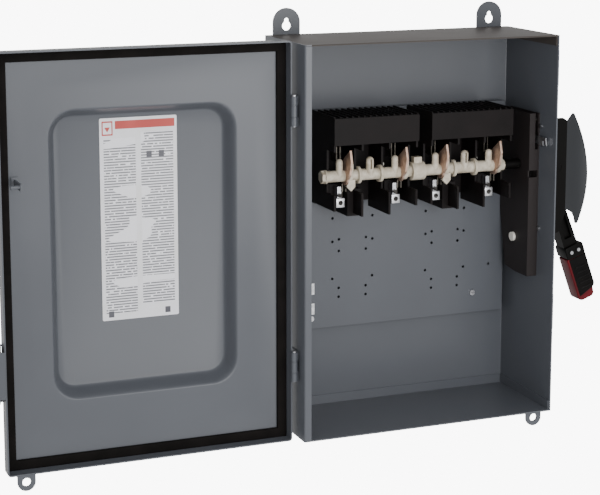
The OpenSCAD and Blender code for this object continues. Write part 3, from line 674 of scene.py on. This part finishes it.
def hang(piece: bpy.types.Object, material: bpy.types.Material, body: Body,
         replaced: tuple[str, ...] = (), angle: float = 40.0) -> bpy.types.Object:
    """Smooth and dress a piece, hang it on its body and hide the CAD nodes that it stands for.

    Args:
        piece: The finished piece.
        material: The finish it takes.
        body: The body that it rides on.
        replaced: The CAD nodes that it stands for.
        angle: Edges flatter than this, in degrees, are shaded smooth.

    Returns:
        The same piece.
    """
    bpy.ops.object.select_all(action="DESELECT")
    piece.select_set(True)
    bpy.context.view_layer.objects.active = piece
    bpy.ops.object.shade_smooth_by_angle(angle=math.radians(angle))
    piece.data.materials.clear()
    piece.data.materials.append(material)
    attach(piece, body.value)
    if replaced:
        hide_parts(*replaced)
    LOG.info("%s: %d faces on %s", piece.name, len(piece.data.polygons), body.value)
    return piece


def repeat(piece: bpy.types.Object, step: Point) -> bpy.types.Object:
    """Copy a piece, mesh and all, and shift the copy's mesh.

    Args:
        piece: The piece to copy.
        step: How far away the copy stands, in metres.

    Returns:
        The copy, with its object still at the origin.
    """
    bpy.ops.object.select_all(action="DESELECT")
    piece.select_set(True)
    bpy.context.view_layer.objects.active = piece
    bpy.ops.object.duplicate(linked=False)
    bpy.ops.object.mode_set(mode="EDIT")
    bpy.ops.mesh.select_all(action="SELECT")
    bpy.ops.transform.translate(value=step)
    bpy.ops.object.mode_set(mode="OBJECT")
    return bpy.context.object


def join(name: str, pieces: list[bpy.types.Object]) -> bpy.types.Object:
    """Join finished pieces into one.

    Args:
        name: The joined piece's name.
        pieces: What it is made of.

    Returns:
        The joined piece.
    """
    bpy.ops.object.select_all(action="DESELECT")
    for piece in pieces:
        piece.select_set(True)
    bpy.context.view_layer.objects.active = pieces[0]
    bpy.ops.object.join()
    pieces[0].name = name
    pieces[0].data.name = name
    return pieces[0]


def span(node: str) -> tuple[Vector, Vector]:
    """Give a node's lowest and highest corners, in metres."""
    low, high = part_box(node)
    return Vector(low), Vector(high)


@dataclass
class Door:
    """The pressed door, its gasket and its label, swung fully open."""

    finishes: Finishes
    sheet: float = 2.0 * MM
    rim: float = 21.0 * MM
    blank_margin: float = 60.0 * MM
    free_margin: float = 65.0 * MM
    hinge_margin: float = 68.0 * MM
    top_margin: float = 76.0 * MM
    bottom_margin: float = 84.0 * MM
    corner: float = 36.0 * MM
    corner_steps: int = 10
    slope: float = 14.0 * MM
    depth: float = 24.0 * MM
    steps: int = 12
    fold: float = 2.2 * MM
    gasket_w: float = 13.0 * MM
    gasket_round: float = 1.8 * MM
    film_round: float = 2.0 * MM
    ink_round: float = 0.6 * MM
    ink_back: float = 0.01 * MM
    ink_face: float = 0.06 * MM
    layer: float = 0.04 * MM
    sign_round: float = 0.5 * MM
    sign_lift: float = 0.12 * MM
    sign_thick: float = 0.1 * MM

    def build(self) -> None:
        """Model the door's pieces."""
        self._shell()
        self._gasket()
        self._label()

    def _shell(self) -> None:
        """Press the panel's emboss, fold its edges and give it thickness."""
        low, high = span("door_shell")
        inner_y = low.y + self.rim
        low = Vector((low.x + self.sheet, inner_y, low.z + self.sheet))
        high = Vector((high.x - self.sheet, inner_y, high.z - self.sheet))
        bench = Workbench("pressed_door").sheet(low, high)
        bench.faces(lambda p, n: True).inset(self.blank_margin)
        # Stretch and shift that first inset to the emboss's own outline
        middle = (low + high) / 2
        want_low = Vector((low.x + self.free_margin, inner_y, low.z + self.bottom_margin))
        want_high = Vector((high.x - self.hinge_margin, inner_y, high.z - self.top_margin))
        centre = (want_low + want_high) / 2
        had = high - low - Vector((2 * self.blank_margin, 0, 2 * self.blank_margin))
        bench.faces(lambda p, n: (p - middle).length < MM)
        bench.stretch(((want_high.x - want_low.x) / had.x, 1, (want_high.z - want_low.z) / had.z),
                      middle)
        bench.move(tuple(centre - middle))
        bench.corners(lambda p: want_low.x - MM < p.x < want_high.x + MM
                      and want_low.z - MM < p.z < want_high.z + MM)
        bench.bevel(self.corner, self.corner_steps, corners=True)
        # The emboss's floor is the one face whose middle is near its centre
        bench.faces(lambda p, n: (p - centre).length < 10 * MM)
        done = 0.0
        for step in range(1, self.steps + 1):
            along = step / self.steps
            sunk = along * along * (3 - 2 * along)
            bench.inset(self.slope / self.steps).move((0, (sunk - done) * self.depth, 0))
            done = sunk
        bench.edges(lambda p, d: self._at_side(p, low, high) or self._at_end(p, low, high))
        bench.draw_edges((0, -self.rim, 0))
        bench.edges(lambda p, d: self._on_fold(p, low, high, inner_y)).bevel(self.fold, 3)
        bench.modifier("SOLIDIFY", thickness=self.sheet, offset=1.0)
        bench.finish(self.finishes.get("grey_enamel"), Body.DOOR, "grey_enamel", ("door_shell",), 40)

    @staticmethod
    def _at_side(p: Vector, low: Vector, high: Vector) -> bool:
        """Say whether a place is on the sheet's left or right edge."""
        return abs(p.x - low.x) < TOUCH or abs(p.x - high.x) < TOUCH

    @staticmethod
    def _at_end(p: Vector, low: Vector, high: Vector) -> bool:
        """Say whether a place is on the sheet's lower or upper edge."""
        return abs(p.z - low.z) < TOUCH or abs(p.z - high.z) < TOUCH

    def _on_fold(self, p: Vector, low: Vector, high: Vector, y: float) -> bool:
        """Say whether an edge is a fold: the panel's border, or one of the rim's corners."""
        at_side, at_end = self._at_side(p, low, high), self._at_end(p, low, high)
        return (abs(p.y - y) < TOUCH and (at_side or at_end)) or (at_side and at_end)

    def _gasket(self) -> None:
        """Lay the foam strip round the inside of the rim."""
        low, high = span("door_gasket")
        bench = Workbench("foam_gasket").sheet(Vector((low.x, high.y, low.z)), high)
        bench.faces(lambda p, n: True).inset(self.gasket_w)
        middle = Vector(((low.x + high.x) / 2, high.y, (low.z + high.z) / 2))
        bench.faces(lambda p, n: (p - middle).length < MM).remove()
        bench.faces(lambda p, n: True).draw_out((0, low.y - high.y, 0))
        bench.edges(lambda p, d: p.y < low.y + TOUCH and not self._is_mitre(d))
        bench.bevel(self.gasket_round, 3)
        bench.finish(self.finishes.get("gasket_foam"), Body.DOOR, "gasket_foam", ("door_gasket",))

    @staticmethod
    def _is_mitre(d: Vector) -> bool:
        """Say whether an edge runs across a mitred corner."""
        return abs(d.x) > 0.1 and abs(d.z) > 0.1

    def _label(self) -> None:
        """Stick on the film and lay its printed areas on it."""
        low, high = self.film_low, self.film_high = span("door_label")
        film = Workbench("warning_label").block(low, high)
        film.edges(lambda p, d: abs(d.y) > 0.9).bevel(self.film_round, 3)
        film.finish(self.finishes.get("label_film"), Body.DOOR, "label_film", ("door_label",))
        self._print("label_header", "red_ink", (0.20, 0.97, 0.015, 0.055))
        self._print("label_frame", "red_ink", (0.03, 0.17, 0.015, 0.085))
        self._print("label_symbol_field", "label_film", (0.045, 0.155, 0.022, 0.078), self.layer)
        wide, tall = high.x - low.x, high.z - low.z
        sign = Vector((low.x + wide * 0.1, low.y - self.sign_lift, high.z - tall * 0.053))
        mark = Workbench("label_warning_sign").rod(
            wide * 0.042, sign, sign + Vector((0, self.sign_thick, 0)), 3)
        mark.edges(lambda p, d: abs(d.y) > 0.9).bevel(self.sign_round, 3)
        mark.finish(self.finishes.get("red_ink"), Body.DOOR, "label_film")
        self._print("label_left_column", "print", (0.05, 0.46, 0.10, 0.965))
        self._print("label_right_column", "print", (0.53, 0.95, 0.075, 0.93))
        for i, (x, z) in enumerate([(0.60, 0.17), (0.76, 0.17), (0.08, 0.955), (0.82, 0.955)]):
            self._print(f"label_diagram_{i}", "dark_ink", (x, x + 0.07, z, z + 0.03), self.layer)

    def _print(self, name: str, ink: str, area: tuple[float, float, float, float],
               lift: float = 0.0) -> None:
        """Lay one thin printed area on the film.

        Args:
            name: The area's name.
            ink: Its finish.
            area: Its left, right, top and bottom, as parts of the film's width and height.
            lift: How far above the film it starts, in metres.
        """
        low, high = self.film_low, self.film_high
        wide, tall, y = high.x - low.x, high.z - low.z, low.y - lift
        left, right, top, foot = area
        bench = Workbench(name).block(
            Vector((low.x + wide * left, y - self.ink_face, high.z - tall * foot)),
            Vector((low.x + wide * right, y - self.ink_back, high.z - tall * top)))
        bench.edges(lambda p, d: abs(d.y) > 0.9).bevel(self.ink_round, 3)
        bench.finish(self.finishes.get(ink), Body.DOOR, "label_film")


@dataclass
class Enclosure:
    """The folded wrapper and the top wall."""

    finishes: Finishes
    sheet: float = 2.0 * MM
    lip: float = 10.0 * MM
    fold: float = 3.0 * MM
    screw_in_y: float = 14.0 * MM
    screw_in_z: float = 12.0 * MM
    screw_hole_r: float = 2.6 * MM
    tool_reach: float = 6.0 * MM
    slot_half: float = 28.0 * MM
    slot_front: float = 3.9 * MM
    slot_back: float = 5.5 * MM
    front_round: float = 1.6 * MM
    flange: float = 1.5 * MM
    flange_front: float = 2.1 * MM
    flange_drop: float = 0.4 * MM

    def build(self) -> None:
        """Model the enclosure's pieces."""
        self._wrapper()
        self._top_wall()

    def _wrapper(self) -> None:
        """Fold the back, the two sides and the hinge-side lip from one sheet."""
        low, high = span("enclosure_wrapper")
        bench = Workbench("folded_wrapper").sheet(Vector((low.x, high.y, low.z)), high)
        bench.edges(lambda p, d: abs(d.z) > 0.9).draw_edges((0, low.y - high.y, 0))
        bench.edges(lambda p, d: abs(d.z) > 0.9 and p.y < low.y + NEAR and p.x < 0)
        bench.draw_edges((self.lip, 0, 0))
        bench.edges(lambda p, d: abs(d.z) > 0.9 and (
            p.y > high.y - NEAR or (p.y < low.y + NEAR and p.x < low.x + NEAR)))
        bench.bevel(self.fold, 4)
        bench.modifier("SOLIDIFY", thickness=self.sheet, offset=-1.0)
        bench.cut(self._wall_tools(high.x))
        bench.finish(self.finishes.get("grey_enamel"), Body.ENCLOSURE, "grey_enamel",
                     ("enclosure_wrapper",), 40)

    def _wall_tools(self, wall: float) -> list[Workbench]:
        """Make the tools that cut the slide's slot and the housing's screw holes.

        Args:
            wall: The outside of the right-hand wall.

        Returns:
            One closed tool for each opening.
        """
        slide_low, _ = span("drive_slide")
        house_low, house_high = span("handle_housing")
        pin_low, pin_high = span("handle_pivot_pin")
        middle = (pin_low.z + pin_high.z) / 2
        left, right = wall - self.tool_reach, wall + self.tool_reach
        tools = [Workbench("slot_tool").block(
            Vector((left, slide_low.y - self.slot_front, middle - self.slot_half)),
            Vector((right, slide_low.y + self.slot_back, middle + self.slot_half)))]
        for y in (house_low.y + self.screw_in_y, house_high.y - self.screw_in_y):
            for z in (house_low.z + self.screw_in_z, house_high.z - self.screw_in_z):
                tools.append(Workbench("hole_tool").rod(
                    self.screw_hole_r, Vector((left, y, z)), Vector((right, y, z)), 24))
        return tools

    def _top_wall(self) -> None:
        """Fold the top wall: its deck, rounded at the front, and its three flanges."""
        low, high = span("top_end_wall")
        bench = Workbench("folded_top_wall").block(
            Vector((low.x, low.y, high.z - self.sheet)), high)
        bench.edges(lambda p, d: p.z > high.z - NEAR and p.y < low.y + NEAR)
        bench.bevel(self.front_round, 4)
        parts = [bench.set_down()]
        front = low.y + self.flange_front
        for name, start, end in (
                ("back_flange", Vector((low.x, high.y - self.flange, low.z)), high),
                ("left_flange", Vector((low.x, front, low.z)),
                 Vector((low.x + self.flange, high.y, high.z))),
                ("right_flange", Vector((high.x - self.flange, front, low.z)), high)):
            strip = Workbench(name).block(start, Vector((end.x, end.y, high.z - self.flange_drop)))
            parts.append(strip.set_down())
        piece = join("folded_top_wall", parts)
        # The top wall wears the box's enamel darkened: painted shade
        hang(piece, self.finishes.get("top_painted_shade_enamel"), Body.ENCLOSURE,
             ("top_end_wall",))


@dataclass
class Terminals:
    """The box lugs at the load side, each a block with a tang, a wire hole and a screw hole."""

    finishes: Finishes
    pitch: float = 84.0 * MM
    side: float = 13.0 * MM
    deep: float = 16.0 * MM
    shoulder: float = 1.2 * MM
    tang: float = 5.6 * MM
    tang_deep: float = 11.8 * MM
    tang_shift: float = -0.4 * MM
    tang_y: float = 10.0 * MM
    wire_r: float = 3.6 * MM
    wire_y: float = 9.0 * MM
    wire_floor: float = 1.5 * MM
    wire_lead: float = 5.0 * MM
    screw_r: float = 3.4 * MM
    screw_deep: float = 8.0 * MM
    rounding: float = 0.8 * MM

    def build(self) -> None:
        """Model the load lugs."""
        low, high = span("load_lugs")
        first, last = low.x + self.side / 2, high.x - self.side / 2
        lug = self._lug(first, low.y, low.z, high.z)
        lugs = [lug] + [repeat(lug, (x - first, 0, 0))
                        for x in (first + self.pitch, last - self.pitch, last)]
        piece = join("tin_plated_load_lugs", lugs)
        hang(piece, self.finishes.get("tin_plate"), Body.ENCLOSURE, ("load_lugs",))

    def _lug(self, x: float, y: float, foot: float, top: float) -> bpy.types.Object:
        """Model one lug.

        Args:
            x: Its middle, in metres.
            y: Its front.
            foot: Its lowest height.
            top: Its tang's highest height.

        Returns:
            The lug, closed.
        """
        half, head = self.side / 2, foot + self.side
        bench = Workbench("load_lug").block(Vector((x - half, y, foot)),
                                            Vector((x + half, y + self.deep, head)))
        bench.faces(lambda p, n: n.z > 0.9).inset(self.shoulder)
        bench.faces(lambda p, n: n.z > 0.9 and abs(p.x - x) < NEAR
                    and abs(p.y - y - self.deep / 2) < NEAR)
        bench.stretch((self.tang / (self.side - 2 * self.shoulder),
                       self.tang_deep / (self.deep - 2 * self.shoulder), 1),
                      Vector((x, y + self.deep / 2, head)))
        bench.move((self.tang_shift, self.tang_y - self.deep / 2, 0))
        bench.draw_out((0, 0, top - head))
        bench.edges(lambda p, d: p.z < head + NEAR and not (
            abs(p.x - x) < half - NEAR and y + NEAR < p.y < y + self.deep - NEAR))
        bench.bevel(self.rounding, 3)
        wire_y = y + self.wire_y
        bench.cut([
            Workbench("wire_tool").rod(self.wire_r, Vector((x, wire_y, foot - self.wire_lead)),
                                       Vector((x, wire_y, head - self.wire_floor)), 32),
            Workbench("screw_tool").rod(self.screw_r, Vector((x, y - MM, foot + half)),
                                        Vector((x, y + self.screw_deep, foot + half)), 32)])
        return bench.set_down()


@dataclass
class Handle:
    """The grip's two mouldings and the collar that clamps them, leaning away from the wall."""

    finishes: Finishes
    lean: float = 20.0
    collar_top: float = -133.0 * MM
    collar_foot: float = -152.0 * MM
    collar_left: float = -13.5 * MM
    collar_right: float = 17.5 * MM
    collar_round: float = 4.0 * MM
    collar_edge: float = 1.4 * MM
    reach: float = -220.0 * MM
    left: float = -14.0 * MM
    right: float = 18.0 * MM
    half_depth: float = 14.0 * MM
    grip_in: float = 3.0 * MM
    grip_up: float = 7.0 * MM
    grip_nose: float = 6.0 * MM
    grip_round: float = 2.4 * MM
    insert_in: float = 5.0 * MM
    insert_nose: float = 7.0 * MM
    insert_round: float = 2.0 * MM
    ribs: int = 5
    rib_pitch: float = 8.0 * MM
    rib_first: float = 16.0 * MM
    rib_left: float = -6.0 * MM
    rib_right: float = 13.0 * MM
    rib_r: float = 1.5 * MM
    rib_round: float = 0.7 * MM
    rib_sunk: float = 0.6 * MM

    def build(self) -> None:
        """Model the grip, its insert and the collar."""
        pin_low, pin_high = span("handle_pivot_pin")
        collar_low, collar_high = span("handle_collar")
        self.pivot = Vector(((pin_low.x + pin_high.x) / 2, (collar_low.y + collar_high.y) / 2,
                             (pin_low.z + pin_high.z) / 2))
        self._grip()
        self._insert()
        self._collar()

    def _at(self, x: float, y: float, z: float) -> Vector:
        """Give a place from the handle's own, hanging straight down from its pivot."""
        return self.pivot + Vector((x, y, z))

    def _on_cheek(self, p: Vector, half: float) -> bool:
        """Say whether a place is on the front or back face of a piece, half its depth away."""
        return abs(abs(p.y - self.pivot.y) - half) < NEAR

    def _lean(self, bench: Workbench) -> Workbench:
        """Lean a straight piece away from the wall."""
        return bench.turn(math.radians(self.lean), "Y", self.pivot)

    def _grip(self) -> None:
        """Mould the black half: rounded, with ribs across its front and its back."""
        top, foot = self.collar_foot, self.reach + self.grip_up
        low = self._at(self.left + self.grip_in, -self.half_depth, foot)
        high = self._at(self.right, self.half_depth, top)
        bench = Workbench("grip_body").block(low, high)
        bench.corners(lambda p: p.x > high.x - MM and p.z < low.z + MM)
        bench.move((0, 0, self.grip_up))
        bench.edges(lambda p, d: p.x > high.x - 12 * MM and p.z < low.z + 9 * MM and abs(d.y) > 0.9)
        bench.bevel(self.grip_nose, 5)
        bench.edges(lambda p, d: p.x > low.x + MM and abs(d.y) < 0.5).bevel(self.grip_round, 3)
        parts = [self._lean(bench).set_down()]
        front = -self.half_depth + self.rib_sunk
        first = top - self.rib_first
        rib = Workbench("grip_rib").rod(self.rib_r, self._at(self.rib_left, front, first),
                                        self._at(self.rib_right, front, first), 16)
        rib.faces(lambda p, n: abs(n.x) > 0.9).bevel(self.rib_round, 2)
        ribs = [self._lean(rib).set_down()]
        lean = math.radians(self.lean)
        for i in range(1, self.ribs):
            down = i * self.rib_pitch
            ribs.append(repeat(ribs[0], (down * math.sin(lean), 0, -down * math.cos(lean))))
        parts += ribs + [repeat(rib, (0, -2 * front, 0)) for rib in ribs]
        piece = join("grip_body", parts)
        hang(piece, self.finishes.get("black_grip"), Body.HANDLE, ("handle_grip",))

    def _insert(self) -> None:
        """Mould the coloured half, which shows along the inner edge and round the end."""
        half = self.half_depth - MM
        low = self._at(self.left, -half, self.reach)
        high = self._at(self.right - self.insert_in, half, self.collar_foot)
        bench = Workbench("grip_insert_body").block(low, high)
        bench.edges(lambda p, d: p.z < low.z + MM and abs(d.y) > 0.9).bevel(self.insert_nose, 6)
        bench.edges(lambda p, d: (p.x < low.x + MM or p.z < low.z + 8 * MM) and abs(d.y) < 0.5
                    and self._on_cheek(p, half)).bevel(self.insert_round, 3)
        self._lean(bench).finish(self.finishes.get("maroon_grip"), Body.HANDLE, "maroon_grip",
                                 ("grip_insert",), 40)

    def _collar(self) -> None:
        """Forge the collar: a rounded block right round the arm."""
        half = self.half_depth + MM
        low = self._at(self.collar_left, -half, self.collar_foot)
        high = self._at(self.collar_right, half, self.collar_top)
        bench = Workbench("forged_collar").block(low, high)
        bench.edges(lambda p, d: abs(d.y) > 0.9).bevel(self.collar_round, 4)
        bench.edges(lambda p, d: self._on_cheek(p, half)).bevel(self.collar_edge, 3)
        self._lean(bench).finish(self.finishes.get("black_enamel"), Body.HANDLE, "black_enamel",
                                 ("handle_collar",), 40)


@dataclass
class Studio:
    """The floor, the lights and the camera."""

    floor_size: float = 60.0
    floor_drop: float = 0.25
    backdrop: float = 9.0
    surround: float = 0.84
    lens: float = 103.5
    sensor: float = 36.0
    shift: float = -0.15
    place: Point = (-1.0254, -2.2280, 0.4983)
    yaw: float = 21.74
    pitch: float = 9.54

    # Each soft box: its name, its place, what it faces, its size in metres and its watts
    LAMPS = (("key_box", (-0.7, -3.4, 0.7), (-0.15, 0, 0), 1.4, 40.0),
             ("box_fill", (0.12, -1.15, 0.15), (0.05, 0, 0), 0.6, 5.0))

    def build(self) -> None:
        """Set up the studio."""
        self._floor()
        self._lights()
        self._camera()

    def _floor(self) -> None:
        """Lay a wide pale floor below the switch."""
        low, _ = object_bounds()
        bpy.ops.mesh.primitive_plane_add(size=self.floor_size,
                                         location=(0, 0, low[2] - self.floor_drop))
        floor = bpy.context.object
        floor.name = "studio_floor"
        # Painted studio board, seen evenly white and lighting the switch only softly
        material, tree, out = new_material("studio_white")
        board = add_node(tree, "ShaderNodeBsdfPrincipled",
                         {"Base Color": linear("#fafafa"), "Roughness": 0.9})
        seen = add_node(tree, "ShaderNodeEmission",
                        {"Color": linear("#ffffff"), "Strength": self.backdrop})
        rays = add_node(tree, "ShaderNodeLightPath")
        mixed = add_node(tree, "ShaderNodeMixShader",
                         links={0: rays.outputs["Is Camera Ray"], 1: board.outputs[0],
                                2: seen.outputs[0]})
        tree.links.new(mixed.outputs[0], out.inputs[0])
        floor.data.materials.append(material)
        floor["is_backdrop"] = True

    def _lights(self) -> None:
        """Hang soft boxes and a bright surround."""
        world = bpy.data.worlds.new("studio_surround")
        bpy.context.scene.world = world
        world.use_nodes = True
        tree = world.node_tree
        base = tree.nodes["Background"]
        rays = add_node(tree, "ShaderNodeLightPath")
        glow = add_node(tree, "ShaderNodeMapRange", {"To Min": self.surround, "To Max": self.backdrop},
                        {"Value": rays.outputs["Is Camera Ray"]})
        tree.links.new(glow.outputs[0], base.inputs[1])
        base.inputs[0].default_value = linear("#ffffff")
        for name, place, aim, size, power in self.LAMPS:
            light = bpy.data.lights.new(name, "AREA")
            light.size = size
            light.energy = power
            lamp = bpy.data.objects.new(name, light)
            lamp.location = place
            lamp.rotation_euler = (Vector(aim) - Vector(place)).to_track_quat("-Z", "Y").to_euler()
            bpy.context.collection.objects.link(lamp)

    def _camera(self) -> None:
        """Place the camera at the switch's left front, a little above it."""
        data = bpy.data.cameras.new("studio_camera")
        data.lens = self.lens
        data.sensor_width = self.sensor
        data.shift_y = self.shift
        camera = bpy.data.objects.new("studio_camera", data)
        camera.location = self.place
        camera.rotation_euler = (math.radians(90 - self.pitch), 0, math.radians(-self.yaw))
        bpy.context.collection.objects.link(camera)
        bpy.context.scene.camera = camera


def main() -> None:
    """Build the switch's looks in order, and report each piece."""
    logging.basicConfig(level=logging.INFO, format="%(message)s")
    finishes = Finishes()
    finishes.dress_nodes()
    Enclosure(finishes).build()
    Door(finishes).build()
    Terminals(finishes).build()
    Handle(finishes).build()
    Studio().build()


if __name__ == "__main__":
    main()
